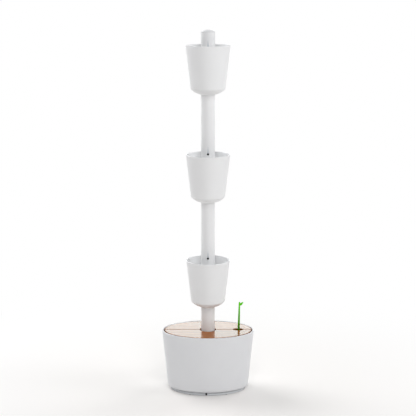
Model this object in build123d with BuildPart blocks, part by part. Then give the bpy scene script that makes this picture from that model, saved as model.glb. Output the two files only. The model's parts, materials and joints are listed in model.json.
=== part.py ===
from build123d import *
from math import acos, asin, cos, radians, sin, sqrt
import os

os.makedirs("parts", exist_ok=True)

# Self-watering tower planter: an oval water tank with a wooden lid in two halves, a column of
# tubes with three pots stacked on it, a pump that feeds a drip nozzle at each pot, and a float
# whose green sprout shows the water level. Millimetres, +Z up, origin on the floor under the
# column. The front is the -Y side.

# Clearances
slip_gap = 0.3          # pieces that lift apart
seat_gap = 0.2          # pieces pushed together for good
running_gap = 0.05      # shaft in its bore
fit_gap = 0.1           # hose on its barb, stem in its float

# Tank
rim_half_width = 202.2
tank_taper = 24.8       # rim to foot, each side
oval_ratio = 0.69       # depth over width
rim_height = 268.0
tank_wall = 4.0
tank_floor = 4.0
rim_lip = 6.0
rim_round = 2.8
foot_round = 13.0
inner_round = 9.0

# Plinth, foot pads and power inlet
plinth_height = 13.0
plinth_inset = 13.4     # tank foot to plinth, each side
plinth_band = 14.0
shadow_groove_height = 2.5
shadow_groove_depth = 4.0
pad_radius = 5.5
pad_height = 3.0
pad_sink = 1.5
pad_count = 6
notch_x = -7.5
notch_width = 8.0
notch_height = 10.0
inlet_width = 20.0
inlet_depth = 16.0
inlet_skirt = 0.8       # floor to the underside of the inlet
nose_recess = 3.0       # inlet's nose behind the plinth's face
socket_width = 5.0
socket_height = 6.4
socket_depth = 9.0
socket_drop = 0.65      # socket below the inlet's middle

# Lid
lid_thickness = 15.0
lid_sink = 0.5          # lid top below the rim
lid_gap = 5.6           # lid to lip, all round
lid_split = 2.0
lid_round = 1.4
ledge_width = 11.0
ledge_thickness = 4.0
tube_notch_radius = 35.0
fill_inset = 58.6       # fill hole from the lid's end
fill_half_length = 24.3
fill_half_width = 15.0

# Column and pots
seam_height = 178.0     # top of the tower socket
drop_length = 197.0     # seam to the bottom of the pot
pot_height = 208.0
column_rise = 60.0      # rim to the next seam
cap_rise = 54.0         # highest rim to the cap
column_radius = 30.0
drop_radius = 29.5
tube_wall = 2.5
pot_rim_radius = 95.2
pot_wall = 4.0
pot_draft = 6.6         # degrees
bowl_radius = 74.0
bowl_slope = 9.0        # degrees, at the neck
pot_corner_round = 9.0
pot_rim_round = 1.9
neck_height = 20.0
neck_round = 5.0
hub_height = 8.0
hub_collar_height = 8.0
hub_bore_radius = 23.0
neck_spigot = 28.0
drain_slot_width = 4.0
drain_slot_height = 12.0
drain_slot_rise = 2.0   # above the hub collar
drain_slot_count = 4
slot_turn = 45.0        # degrees from +X, drains and level guide
spigot_depth = 40.0
connector_plug = 36.0
connector_wall = 3.5
connector_round = 1.2
stud_radius = 2.8
stud_hole_gap = 0.4
stud_rise = 10.0        # above the seam
stud_sink = 0.6         # below the tube's skin
stud_count = 4
stud_turn = -35.0       # degrees from +X

# Watering
drip_rises = (12.5, 4.5, -9.0)  # above each pot's rim, lowest first
nozzle_radius = 4.2
nozzle_hole_gap = 0.3
nozzle_proud = 1.6
nozzle_flange_radius = 7.0
nozzle_flange = 2.0
nozzle_bore = 1.2
nozzle_round = 1.0
nozzle_tail = 7.0
groove_length = 33.0
groove_width = 6.5
groove_tip = 1.4
groove_depth = 1.7
tee_radius = 6.0
tee_half_height = 10.0
tee_bore = 2.2
barb_length = 14.0
branch_radius = 5.0
branch_reach = 18.0
hose_radius = 5.0
hose_bore = 3.5

# Tower socket
socket_bolt_circle = 58.0
boss_radius = 8.0
boss_height = 8.0
bolt_radius = 2.0
bolt_head_radius = 4.8
bolt_head_height = 3.2
bolt_head_round = 1.0
bolt_grip = 6.5         # depth in the boss
bolt_count = 4
bolt_turn = 45.0        # degrees from +X
flange_radius = 70.0
flange_thickness = 6.0
gusset_reach = 64.0
gusset_height = 84.0
gusset_thickness = 4.0
gusset_count = 6
hose_window_gap = 3.0
water_window_width = 12.0
water_window_height = 18.0
water_window_count = 3

# Pump
pump_x = -108.0
pump_width = 46.0
pump_length = 52.0
pump_height = 48.0
pump_round = 5.0
cup_height = 10.0
cup_skirt = 6.0
cup_radius = 8.0
cup_neck_radius = 3.0
cup_stud_radius = 2.5
cup_stud_length = 4.0
cup_inset = 11.0
chamber_radius = 17.0
chamber_depth = 10.0
rotor_radius = 9.0
rotor_length = 26.0
rotor_gap = 0.5
rotor_end_gap = 1.0
shaft_radius = 1.5
shaft_seat = 3.5
cover_seat = 2.0        # shaft in the cover
impeller_radius = 15.0
impeller_disc = 1.5
blade_height = 6.0
blade_thickness = 2.0
blade_count = 6
impeller_hub_radius = 5.0
outlet_lift = 10.0      # outlet above the shaft
cover_thickness = 4.0
intake_slot_width = 3.0
intake_slot_height = 22.0
intake_slot_step = 6.0
cover_screw_inset = 5.0
cover_screw_radius = 1.25
cover_screw_head_radius = 2.4
cover_screw_head_height = 1.6
cover_screw_grip = 8.0

# Level float and its guide
stem_offset = 3.4       # stem from the fill hole's centre
stem_radius = 5.2
stem_tip_radius = 3.3
stem_height = 125.5     # above the lid
stem_lean = 3.0
stem_tip_round = 2.0
leaf_length = 24.0
leaf_width = 8.5
leaf_thickness = 2.4
leaf_angle = 45.0       # degrees
leaf_drop = 17.0        # leaf foot below the stem's tip
float_radius = 15.0
float_height = 46.0
float_round = 3.0
guide_radius = 22.0
guide_wall = 2.5
guide_headroom = 13.0   # below the lid
guide_pad = 4.0
guide_spigot = 10.0
guide_slot_width = 6.0
guide_slot_margin = 18.0
guide_slot_count = 4
guide_cap_thickness = 3.0
guide_cap_skirt = 8.0
guide_cap_gap = 0.4     # stem in the cap
guide_cap_ring = 2.5
guide_spoke = 5.0

# Controller
standpipe_x = -95.0
standpipe_radius = 9.5
standpipe_bore = 7.0
standpipe_flange_radius = 14.0
standpipe_flange = 4.0
case_headroom = 27.0    # below the lid
case_length = 84.0
case_depth = 44.0
case_height = 32.0
case_wall = 2.5
case_round = 5.0
case_collar_radius = 13.0
case_collar_height = 12.0
standpipe_entry = 5.0   # standpipe above the case bottom
case_cover = 3.0
cover_lip = 3.0
post_radius = 3.5
post_inset = 6.5
board_rise = 7.5        # above the case floor
board_gap = 2.5         # to the case walls
board_thickness = 1.6
case_screw_radius = 1.5
case_screw_head_radius = 2.8
case_screw_head_height = 1.8
case_screw_grip = 9.0
radio_length = 25.0
radio_width = 18.0
radio_height = 3.2
terminal_length = 20.0
terminal_width = 8.0
terminal_height = 9.0
driver_side = 12.0
driver_height = 6.0
chip_offset = 20.0
terminal_offset = 3.0

# Cables
cable_radius = 2.5
cable_lead = 6.24           # straight out of the inlet
cable_entry_offset = -25.0  # pump cable from the standpipe, along X
cable_loop_y = 66.0
cable_loop_height = 150.0
cable_exit_lift = 10.0      # above the pump's shaft
cable_bend = 18.0
standpipe_bend = 12.0
grommet_radius = 6.0
grommet_flange = 1.5
grommet_hole_radius = 4.5

# Top cap
cap_edge = 2.0
cap_dome = 9.0
cap_skirt = 16.0
cap_wall = 2.5
cap_round = 1.8

# Heights and sizes that follow
levels = ("lower", "middle", "upper")
module_pitch = drop_length + pot_height + column_rise
column_bore = column_radius - tube_wall
drop_bore = drop_radius - tube_wall
foot_half_width = rim_half_width - tank_taper
floor_top = plinth_height + tank_floor
lid_top = rim_height - lid_sink
lid_bottom = lid_top - lid_thickness
lid_half_width = rim_half_width - rim_lip - lid_gap
lid_half_depth = rim_half_width * oval_ratio - rim_lip - lid_gap
fill_hole_x = lid_half_width - fill_inset
stem_x = fill_hole_x + stem_offset
flange_bottom = floor_top + boss_height
flange_top = flange_bottom + flange_thickness
pump_bottom = floor_top + cup_height
shaft_height = pump_bottom + pump_height / 2
outlet_height = shaft_height + outlet_lift
pump_front = -chamber_depth / 2
pump_back = pump_front + pump_length
rotor_bore_end = pump_front + chamber_depth + rotor_length + 2 * rotor_end_gap
shaft_back = rotor_bore_end + shaft_seat
barb_radius = hose_bore - fit_gap
guide_bottom = floor_top + guide_pad
guide_top = lid_bottom - guide_headroom
guide_height = guide_top - guide_bottom
guide_bore = guide_radius - guide_wall
float_bottom = guide_bottom + guide_spigot
case_top = lid_bottom - case_headroom
case_bottom = case_top - case_height
case_floor = case_bottom + case_wall
board_bottom = case_floor + board_rise
plinth_half_width = foot_half_width - plinth_inset
plinth_half_depth = plinth_half_width * oval_ratio
plinth_inner_width = plinth_half_width - plinth_band
plinth_inner_depth = plinth_half_depth - plinth_band
inlet_corner = (abs(notch_x) + inlet_width / 2) / plinth_inner_width
inlet_y = seat_gap - sqrt(1 - inlet_corner ** 2) * plinth_inner_depth
inlet_top = plinth_height
nose_y = nose_recess - plinth_half_depth
standpipe_y = inlet_y + inlet_depth + cable_lead + cable_bend
socket_centre = inlet_skirt + (inlet_top - inlet_skirt) / 2 - socket_drop
cable_run_height = socket_centre
radial_x = (0, 90, 0)


def tank_half_width(height):
    share = (height - plinth_height) / (rim_height - plinth_height)
    return foot_half_width + (rim_half_width - foot_half_width) * share


def upright(height):
    return Plane(origin=(0, 0, height), x_dir=(1, 0, 0), z_dir=(0, -1, 0))


def save(piece, name):
    piece.part.label = name
    export_step(piece.part, f"parts/{name}.step")


# Tank shell: tapered oval tub with a lip, a ledge for the lid, bosses and a guide seat
ledge_half_width = tank_half_width(lid_bottom) - rim_lip - ledge_width
ledge_half_depth = tank_half_width(lid_bottom) * oval_ratio - rim_lip - ledge_width
with BuildPart() as tank_shell:
    with BuildSketch(Plane.XY.offset(plinth_height)):
        Ellipse(foot_half_width, foot_half_width * oval_ratio)
    with BuildSketch(Plane.XY.offset(rim_height)):
        Ellipse(rim_half_width, rim_half_width * oval_ratio)
    loft()
    fillet(tank_shell.edges().group_by(Axis.Z)[0], foot_round)
    inner_foot = tank_half_width(floor_top)
    with BuildSketch(Plane.XY.offset(floor_top)):
        Ellipse(inner_foot - tank_wall, inner_foot * oval_ratio - tank_wall)
    with BuildSketch(Plane.XY.offset(rim_height)):
        Ellipse(rim_half_width - rim_lip, rim_half_width * oval_ratio - rim_lip)
    loft(mode=Mode.SUBTRACT)
    fillet(tank_shell.edges().filter_by_position(Axis.Z, floor_top, floor_top), inner_round)
    fillet(tank_shell.edges().group_by(Axis.Z)[-1], rim_round)
    with BuildSketch(Plane.XY.offset(lid_bottom - ledge_thickness)):
        ledge_outer = tank_half_width(lid_bottom - ledge_thickness)
        Ellipse(ledge_outer - tank_wall / 2, ledge_outer * oval_ratio - tank_wall / 2)
        Ellipse(ledge_half_width, ledge_half_depth, mode=Mode.SUBTRACT)
    extrude(amount=ledge_thickness)
    with BuildSketch(Plane.XY.offset(floor_top)):
        with PolarLocations(socket_bolt_circle, bolt_count, start_angle=bolt_turn):
            Circle(boss_radius)
        with Locations((stem_x, 0)):
            Circle(guide_radius)
    extrude(amount=guide_pad)
    with BuildSketch(Plane.XY.offset(floor_top + guide_pad)):
        with PolarLocations(socket_bolt_circle, bolt_count, start_angle=bolt_turn):
            Circle(boss_radius)
    extrude(amount=boss_height - guide_pad)
    with BuildSketch(Plane.XY.offset(guide_bottom)):
        with Locations((stem_x, 0)):
            Circle(guide_bore - seat_gap)
    extrude(amount=guide_spigot)
    with BuildSketch(Plane.XY.offset(flange_bottom)):
        with PolarLocations(socket_bolt_circle, bolt_count, start_angle=bolt_turn):
            Circle(bolt_radius + fit_gap)
    extrude(amount=-bolt_grip - fit_gap, mode=Mode.SUBTRACT)
    with BuildSketch(Plane.XY.offset(plinth_height)):
        with Locations((standpipe_x, standpipe_y)):
            Circle(standpipe_bore)
    extrude(amount=tank_floor, mode=Mode.SUBTRACT)
save(tank_shell, "tank_shell")

# Plinth ring: oval band with a shadow groove under the tank, pad seats and the inlet notch
band_bottom = pad_height - pad_sink
pad_turns = [radians(360 / pad_count * place) for place in range(pad_count)]
pad_places = [
    ((plinth_half_width - plinth_band / 2) * cos(turn), (plinth_half_depth - plinth_band / 2) * sin(turn))
    for turn in pad_turns
]
with BuildPart() as plinth_ring:
    with BuildSketch(Plane.XY.offset(band_bottom)):
        Ellipse(plinth_half_width, plinth_half_depth)
        Ellipse(plinth_inner_width, plinth_inner_depth, mode=Mode.SUBTRACT)
    extrude(amount=plinth_height - shadow_groove_height - band_bottom)
    with BuildSketch(Plane.XY.offset(plinth_height - shadow_groove_height)):
        Ellipse(plinth_half_width - shadow_groove_depth, plinth_half_depth - shadow_groove_depth)
        Ellipse(plinth_inner_width, plinth_inner_depth, mode=Mode.SUBTRACT)
    extrude(amount=shadow_groove_height)
    with BuildSketch(Plane.XY.offset(band_bottom)):
        with Locations(*pad_places):
            Circle(pad_radius)
    extrude(amount=pad_sink, mode=Mode.SUBTRACT)
    with BuildSketch(upright(0)):
        with Locations((notch_x, 0)):
            Rectangle(notch_width, band_bottom + notch_height, align=(Align.CENTER, Align.MIN))
    extrude(amount=plinth_half_depth + plinth_band, mode=Mode.SUBTRACT)
save(plinth_ring, "plinth_ring")

# Foot pads: soft discs let into the plinth
with BuildPart() as foot_pads:
    with BuildSketch(Plane.XY):
        with Locations(*pad_places):
            Circle(pad_radius)
    extrude(amount=pad_height)
save(foot_pads, "foot_pads")

# Power inlet: block under the tank floor with a nose in the notch and the socket in its face
with BuildPart() as power_inlet:
    with BuildSketch(Plane.XY.offset(inlet_skirt)):
        with Locations((notch_x, inlet_y)):
            Rectangle(inlet_width, inlet_depth, align=(Align.CENTER, Align.MIN))
    extrude(amount=inlet_top - inlet_skirt)
    with BuildSketch(Plane.XY.offset(inlet_skirt)):
        with Locations((notch_x, nose_y)):
            Rectangle(notch_width - 2 * seat_gap, inlet_y - nose_y, align=(Align.CENTER, Align.MIN))
    extrude(amount=band_bottom + notch_height - seat_gap - inlet_skirt)
    with BuildSketch(Plane(origin=(0, nose_y, 0), x_dir=(1, 0, 0), z_dir=(0, -1, 0))):
        with Locations((notch_x, socket_centre)):
            Rectangle(socket_width, socket_height)
    extrude(amount=-socket_depth, mode=Mode.SUBTRACT)
save(power_inlet, "power_inlet")


# Lid halves: oval boards with half notches for the column and the fill hole
def lid_half(side, edge):
    with BuildPart() as lid:
        with BuildSketch(Plane.XY.offset(lid_bottom)):
            Ellipse(lid_half_width, lid_half_depth)
        extrude(amount=lid_thickness)
        fillet(lid.edges().group_by(Axis.Z)[-1], lid_round)
        with BuildSketch(Plane.XY.offset(lid_bottom)):
            Circle(tube_notch_radius)
            with Locations((fill_hole_x, 0)):
                Ellipse(fill_half_length, fill_half_width)
            with Locations((0, side * lid_split / 2)):
                Rectangle(2 * rim_half_width, rim_half_width, align=(Align.CENTER, edge))
        extrude(amount=lid_thickness, mode=Mode.SUBTRACT)
    return lid


save(lid_half(-1, Align.MIN), "lid_front")
save(lid_half(1, Align.MAX), "lid_rear")

# Tower socket: flanged stub that carries the column, with gussets, hose and water windows
with BuildPart() as tower_socket:
    with BuildSketch(Plane.XY.offset(flange_bottom)):
        Circle(flange_radius)
        with PolarLocations(socket_bolt_circle, bolt_count, start_angle=bolt_turn):
            Circle(bolt_radius + slip_gap, mode=Mode.SUBTRACT)
    extrude(amount=flange_thickness)
    with BuildSketch(Plane.XY.offset(flange_top)):
        Circle(column_radius)
    extrude(amount=seam_height - flange_top)
    for turn in range(gusset_count):
        gusset_plane = upright(flange_top).rotated((0, 0, 360 / gusset_count * (turn + 0.5)))
        with BuildSketch(gusset_plane):
            with BuildLine():
                Polyline(
                    (column_bore, 0), (gusset_reach, 0), (column_radius, gusset_height),
                    (column_bore, gusset_height), close=True,
                )
            make_face()
        extrude(amount=gusset_thickness / 2, both=True)
    with BuildSketch(Plane.XY.offset(flange_bottom)):
        Circle(column_bore)
    extrude(amount=seam_height - flange_bottom, mode=Mode.SUBTRACT)
    with BuildSketch(Plane.YZ):
        with Locations((0, outlet_height)):
            Circle(hose_radius + hose_window_gap)
    extrude(amount=-column_radius - tube_wall, mode=Mode.SUBTRACT)
    with Locations((0, 0, flange_top + water_window_height / 2)):
        with PolarLocations(column_radius - tube_wall / 2, water_window_count):
            Box(3 * tube_wall, water_window_width, water_window_height, mode=Mode.SUBTRACT)
save(tower_socket, "tower_socket")

# Socket screws: pan heads through the flange into the tank's blind bosses
with BuildPart() as socket_screws:
    with BuildSketch(Plane.XY.offset(flange_bottom - bolt_grip)):
        with PolarLocations(socket_bolt_circle, bolt_count, start_angle=bolt_turn):
            Circle(bolt_radius)
    extrude(amount=bolt_grip + flange_thickness)
    with BuildSketch(Plane.XY.offset(flange_top)):
        with PolarLocations(socket_bolt_circle, bolt_count, start_angle=bolt_turn):
            Circle(bolt_head_radius)
    extrude(amount=bolt_head_height)
    fillet(socket_screws.edges().group_by(Axis.Z)[-1], bolt_head_round)
save(socket_screws, "socket_screws")

# Pump body: block with the impeller chamber, rotor bore, shaft seat and outlet barb
pump_plane = Plane(origin=(pump_x, pump_front, shaft_height), x_dir=(1, 0, 0), z_dir=(0, -1, 0))
cup_places = [
    (pump_x + across, along)
    for across in (cup_inset - pump_width / 2, pump_width / 2 - cup_inset)
    for along in (pump_front + cup_inset, pump_back - cup_inset)
]
cover_screw_grid = (pump_width - 2 * cover_screw_inset, pump_height - 2 * cover_screw_inset)
with BuildPart() as pump_body:
    with BuildSketch(pump_plane):
        RectangleRounded(pump_width, pump_height, pump_round)
    extrude(amount=-pump_length)
    with BuildSketch(pump_plane):
        Circle(chamber_radius)
    extrude(amount=-chamber_depth, mode=Mode.SUBTRACT)
    with BuildSketch(pump_plane):
        Circle(rotor_radius + rotor_gap)
    extrude(amount=pump_front - rotor_bore_end, mode=Mode.SUBTRACT)
    with BuildSketch(pump_plane):
        Circle(shaft_radius + running_gap)
    extrude(amount=pump_front - shaft_back - fit_gap, mode=Mode.SUBTRACT)
    with BuildSketch(Plane.YZ.offset(pump_x + pump_width / 2)):
        with Locations((0, outlet_height)):
            Circle(barb_radius)
    extrude(amount=barb_length)
    with BuildSketch(Plane.YZ.offset(pump_x + pump_width / 2 + barb_length)):
        with Locations((0, outlet_height)):
            Circle(tee_bore)
    extrude(amount=-barb_length - pump_width / 2, mode=Mode.SUBTRACT)
    with BuildSketch(Plane.XY.offset(pump_bottom)):
        with Locations(*cup_places):
            Circle(cup_stud_radius + fit_gap)
    extrude(amount=cup_stud_length + fit_gap, mode=Mode.SUBTRACT)
    with BuildSketch(pump_plane):
        with GridLocations(*cover_screw_grid, 2, 2):
            Circle(cover_screw_radius + fit_gap)
    extrude(amount=-cover_screw_grip - fit_gap, mode=Mode.SUBTRACT)
save(pump_body, "pump_body")

# Pump cover: slotted intake plate that holds the shaft's front end
with BuildPart() as pump_cover:
    with BuildSketch(pump_plane):
        RectangleRounded(pump_width, pump_height, pump_round)
        with GridLocations(*cover_screw_grid, 2, 2):
            Circle(cover_screw_radius + fit_gap, mode=Mode.SUBTRACT)
        with Locations(*[(intake_slot_step * step, 0) for step in (-2, -1, 1, 2)]):
            SlotOverall(intake_slot_height, intake_slot_width, rotation=90, mode=Mode.SUBTRACT)
    extrude(amount=cover_thickness)
    with BuildSketch(pump_plane):
        Circle(shaft_radius + running_gap)
    extrude(amount=cover_seat + fit_gap, mode=Mode.SUBTRACT)
save(pump_cover, "pump_cover")

# Pump shaft: fixed pin between the cover and the body
shaft_front = pump_front - cover_seat
with BuildPart() as pump_shaft:
    with BuildSketch(pump_plane.offset(cover_seat)):
        Circle(shaft_radius)
    extrude(amount=shaft_front - shaft_back)
save(pump_shaft, "pump_shaft")

# Impeller: bladed disc and magnet rotor that turn on the shaft
disc_back = pump_front + chamber_depth - rotor_end_gap
rotor_plane = Plane(origin=(pump_x, disc_back, shaft_height), x_dir=(1, 0, 0), z_dir=(0, -1, 0))
with BuildPart() as impeller:
    with BuildSketch(rotor_plane):
        Circle(impeller_radius)
    extrude(amount=impeller_disc)
    with BuildSketch(rotor_plane.offset(impeller_disc)):
        Circle(impeller_hub_radius)
        with PolarLocations(impeller_radius / 2, blade_count):
            Rectangle(impeller_radius - blade_thickness, blade_thickness)
    extrude(amount=blade_height)
    with BuildSketch(rotor_plane):
        Circle(rotor_radius)
    extrude(amount=-rotor_length - rotor_end_gap)
    with BuildSketch(rotor_plane.offset(impeller_disc + blade_height)):
        Circle(shaft_radius + running_gap)
    extrude(amount=-pump_length, mode=Mode.SUBTRACT)
save(impeller, "pump_impeller")

# Pump cover screws
with BuildPart() as pump_screws:
    with BuildSketch(pump_plane.offset(cover_thickness)):
        with GridLocations(*cover_screw_grid, 2, 2):
            Circle(cover_screw_head_radius)
    extrude(amount=cover_screw_head_height)
    with BuildSketch(pump_plane.offset(cover_thickness)):
        with GridLocations(*cover_screw_grid, 2, 2):
            Circle(cover_screw_radius)
    extrude(amount=-cover_thickness - cover_screw_grip)
save(pump_screws, "pump_screws")

# Suction cups: rubber feet that hold the pump on the tank floor
with BuildPart() as suction_cups:
    for across, along in cup_places:
        with BuildSketch(Plane.XY.offset(floor_top)):
            with Locations((across, along)):
                Circle(cup_radius)
        with BuildSketch(Plane.XY.offset(floor_top + cup_skirt)):
            with Locations((across, along)):
                Circle(cup_neck_radius)
        loft()
        with BuildSketch(Plane.XY.offset(floor_top + cup_skirt)):
            with Locations((across, along)):
                Circle(cup_neck_radius)
        extrude(amount=cup_height - cup_skirt)
        with BuildSketch(Plane.XY.offset(pump_bottom)):
            with Locations((across, along)):
                Circle(cup_stud_radius)
        extrude(amount=cup_stud_length)
save(suction_cups, "suction_cups")

# Level guide: slotted tube on the tank's seat, which also takes the poured water
with BuildPart() as level_guide:
    with BuildSketch(Plane.XY.offset(guide_bottom)):
        with Locations((stem_x, 0)):
            Circle(guide_radius)
            Circle(guide_bore, mode=Mode.SUBTRACT)
    extrude(amount=guide_height)
    with Locations((stem_x, 0, guide_bottom + guide_height / 2)):
        with PolarLocations(guide_radius - guide_wall / 2, guide_slot_count, start_angle=slot_turn):
            Box(3 * guide_wall, guide_slot_width, guide_height - 2 * guide_slot_margin, mode=Mode.SUBTRACT)
save(level_guide, "level_guide")

# Guide cap: spoked ring that keeps the stem upright
with BuildPart() as guide_cap:
    with BuildSketch(Plane.XY.offset(guide_top)):
        with Locations((stem_x, 0)):
            Circle(guide_radius)
            Circle(guide_bore - guide_wall, mode=Mode.SUBTRACT)
            Circle(stem_radius + guide_cap_gap + guide_cap_ring)
            Rectangle(2 * guide_bore, guide_spoke)
            Rectangle(guide_spoke, 2 * guide_bore)
            Circle(stem_radius + guide_cap_gap, mode=Mode.SUBTRACT)
    extrude(amount=guide_cap_thickness)
    with BuildSketch(Plane.XY.offset(guide_top)):
        with Locations((stem_x, 0)):
            Circle(guide_bore - seat_gap)
            Circle(guide_bore - guide_wall, mode=Mode.SUBTRACT)
    extrude(amount=-guide_cap_skirt)
save(guide_cap, "guide_cap")

# Level float
with BuildPart() as level_float:
    with BuildSketch(Plane.XY.offset(float_bottom)):
        with Locations((stem_x, 0)):
            Circle(float_radius)
    extrude(amount=float_height)
    fillet(level_float.edges(), float_round)
    with BuildSketch(Plane.XY.offset(float_bottom)):
        with Locations((stem_x, 0)):
            Circle(stem_radius + fit_gap)
    extrude(amount=float_height, mode=Mode.SUBTRACT)
save(level_float, "level_float")

# Sprout: straight stem through the float, tapering above the lid to a leaning tip with a leaf
stem_top = lid_top + stem_height
leaf_foot = (stem_x + stem_lean * (1 - leaf_drop / stem_height), stem_top - leaf_drop)
leaf_plane = Plane(origin=(leaf_foot[0], 0, leaf_foot[1]), x_dir=(1, 0, 0), z_dir=(0, -1, 0))
with BuildPart() as sprout:
    with BuildSketch(Plane.XY.offset(float_bottom)):
        with Locations((stem_x, 0)):
            Circle(stem_radius)
    extrude(amount=lid_top - float_bottom)
    with BuildSketch(Plane.XY.offset(lid_top)):
        with Locations((stem_x, 0)):
            Circle(stem_radius)
    with BuildSketch(Plane.XY.offset(stem_top)):
        with Locations((stem_x + stem_lean, 0)):
            Circle(stem_tip_radius)
    loft()
    fillet(sprout.edges().group_by(Axis.Z)[-1], stem_tip_round)
    with BuildSketch(leaf_plane):
        with BuildLine(Plane.XY.rotated((0, 0, leaf_angle))):
            ThreePointArc((0, 0), (leaf_length / 2, leaf_width / 2), (leaf_length, 0))
            ThreePointArc((leaf_length, 0), (leaf_length / 2, -leaf_width / 2), (0, 0))
        make_face()
    extrude(amount=leaf_thickness / 2, both=True)
save(sprout, "sprout")

# Cable standpipe: dry way through the tank from the floor to the controller
with BuildPart() as cable_standpipe:
    with BuildSketch(Plane.XY.offset(floor_top)):
        with Locations((standpipe_x, standpipe_y)):
            Circle(standpipe_flange_radius)
    extrude(amount=standpipe_flange)
    with BuildSketch(Plane.XY.offset(floor_top)):
        with Locations((standpipe_x, standpipe_y)):
            Circle(standpipe_radius)
    extrude(amount=case_floor + standpipe_entry - floor_top)
    with BuildSketch(Plane.XY.offset(floor_top)):
        with Locations((standpipe_x, standpipe_y)):
            Circle(standpipe_bore)
    extrude(amount=case_floor + standpipe_entry - floor_top, mode=Mode.SUBTRACT)
save(cable_standpipe, "cable_standpipe")

# Controller case: tray on the standpipe with posts for the board and the cover screws
post_grid = (case_length - 2 * post_inset, case_depth - 2 * post_inset)
with BuildPart() as controller_case:
    with BuildSketch(Plane.XY.offset(case_bottom)):
        with Locations((standpipe_x, standpipe_y)):
            RectangleRounded(case_length, case_depth, case_round)
    extrude(amount=case_height)
    with BuildSketch(Plane.XY.offset(case_floor)):
        with Locations((standpipe_x, standpipe_y)):
            RectangleRounded(
                case_length - 2 * case_wall, case_depth - 2 * case_wall, case_round - case_wall
            )
    extrude(amount=case_height, mode=Mode.SUBTRACT)
    with BuildSketch(Plane.XY.offset(case_bottom)):
        with Locations((standpipe_x, standpipe_y)):
            Circle(case_collar_radius)
    extrude(amount=-case_collar_height)
    with BuildSketch(Plane.XY.offset(case_floor)):
        with Locations((standpipe_x, standpipe_y)):
            with GridLocations(*post_grid, 2, 2):
                Circle(post_radius)
    extrude(amount=case_height - case_wall - cover_lip - seat_gap)
    with BuildSketch(Plane.XY.offset(case_top - cover_lip - seat_gap)):
        with Locations((standpipe_x, standpipe_y)):
            with GridLocations(*post_grid, 2, 2):
                Circle(case_screw_radius + fit_gap)
    extrude(amount=-case_screw_grip, mode=Mode.SUBTRACT)
    with BuildSketch(Plane.XY.offset(case_floor)):
        with Locations((standpipe_x, standpipe_y)):
            Circle(standpipe_radius + seat_gap)
        with Locations((standpipe_x + cable_entry_offset, standpipe_y)):
            Circle(grommet_hole_radius)
    extrude(amount=-case_wall - case_collar_height, mode=Mode.SUBTRACT)
save(controller_case, "controller_case")

# Controller cover: plate with a lip that drops inside the case
lip_length = case_length - 2 * case_wall - 2 * seat_gap
lip_depth = case_depth - 2 * case_wall - 2 * seat_gap
with BuildPart() as controller_cover:
    with BuildSketch(Plane.XY.offset(case_top)):
        with Locations((standpipe_x, standpipe_y)):
            RectangleRounded(case_length, case_depth, case_round)
    extrude(amount=case_cover)
    with BuildSketch(Plane.XY.offset(case_top)):
        with Locations((standpipe_x, standpipe_y)):
            RectangleRounded(lip_length, lip_depth, case_round - case_wall - seat_gap)
    extrude(amount=-cover_lip)
    with BuildSketch(Plane.XY.offset(case_top + case_cover)):
        with Locations((standpipe_x, standpipe_y)):
            with GridLocations(*post_grid, 2, 2):
                Circle(case_screw_radius + fit_gap)
    extrude(amount=-case_cover - cover_lip, mode=Mode.SUBTRACT)
save(controller_cover, "controller_cover")

# Circuit board with its radio, pump driver and terminal block, notched round the posts
board_length = case_length - 2 * case_wall - 2 * board_gap
board_depth = case_depth - 2 * case_wall - 2 * board_gap
with BuildPart() as circuit_board:
    with BuildSketch(Plane.XY.offset(board_bottom)):
        with Locations((standpipe_x, standpipe_y)):
            Rectangle(board_length, board_depth)
            with GridLocations(*post_grid, 2, 2):
                Circle(post_radius + seat_gap, mode=Mode.SUBTRACT)
    extrude(amount=board_thickness)
    with BuildSketch(Plane.XY.offset(board_bottom + board_thickness)):
        with Locations((standpipe_x + chip_offset, standpipe_y)):
            Rectangle(radio_length, radio_width)
    extrude(amount=radio_height)
    with BuildSketch(Plane.XY.offset(board_bottom + board_thickness)):
        with Locations((standpipe_x - chip_offset, standpipe_y)):
            Rectangle(driver_side, driver_side)
    extrude(amount=driver_height)
    with BuildSketch(Plane.XY.offset(board_bottom + board_thickness)):
        with Locations((standpipe_x - terminal_offset, standpipe_y)):
            Rectangle(terminal_width, terminal_length)
    extrude(amount=terminal_height)
save(circuit_board, "circuit_board")

# Controller screws
with BuildPart() as controller_screws:
    with BuildSketch(Plane.XY.offset(case_top + case_cover)):
        with Locations((standpipe_x, standpipe_y)):
            with GridLocations(*post_grid, 2, 2):
                Circle(case_screw_head_radius)
    extrude(amount=case_screw_head_height)
    with BuildSketch(Plane.XY.offset(case_top + case_cover)):
        with Locations((standpipe_x, standpipe_y)):
            with GridLocations(*post_grid, 2, 2):
                Circle(case_screw_radius)
    extrude(amount=-case_cover - cover_lip - case_screw_grip + 2 * seat_gap)
save(controller_screws, "controller_screws")


# Hoses and cables follow a line of straight runs and round bends
def round_run(points, bends, outer, bore=0.0):
    with BuildPart() as run:
        with BuildLine() as route:
            FilletPolyline(*points, radius=bends)
        with BuildSketch(Plane(origin=route.line @ 0, z_dir=route.line % 0)):
            Circle(outer)
            if bore:
                Circle(bore, mode=Mode.SUBTRACT)
        sweep()
    return run


# Supply cable: from the inlet under the tank floor and up the standpipe to the board
supply_points = [
    (notch_x, inlet_y + inlet_depth, cable_run_height),
    (notch_x, standpipe_y, cable_run_height),
    (standpipe_x, standpipe_y, cable_run_height),
    (standpipe_x, standpipe_y, board_bottom),
]
save(round_run(supply_points, [cable_bend, standpipe_bend], cable_radius), "supply_cable")

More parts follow.
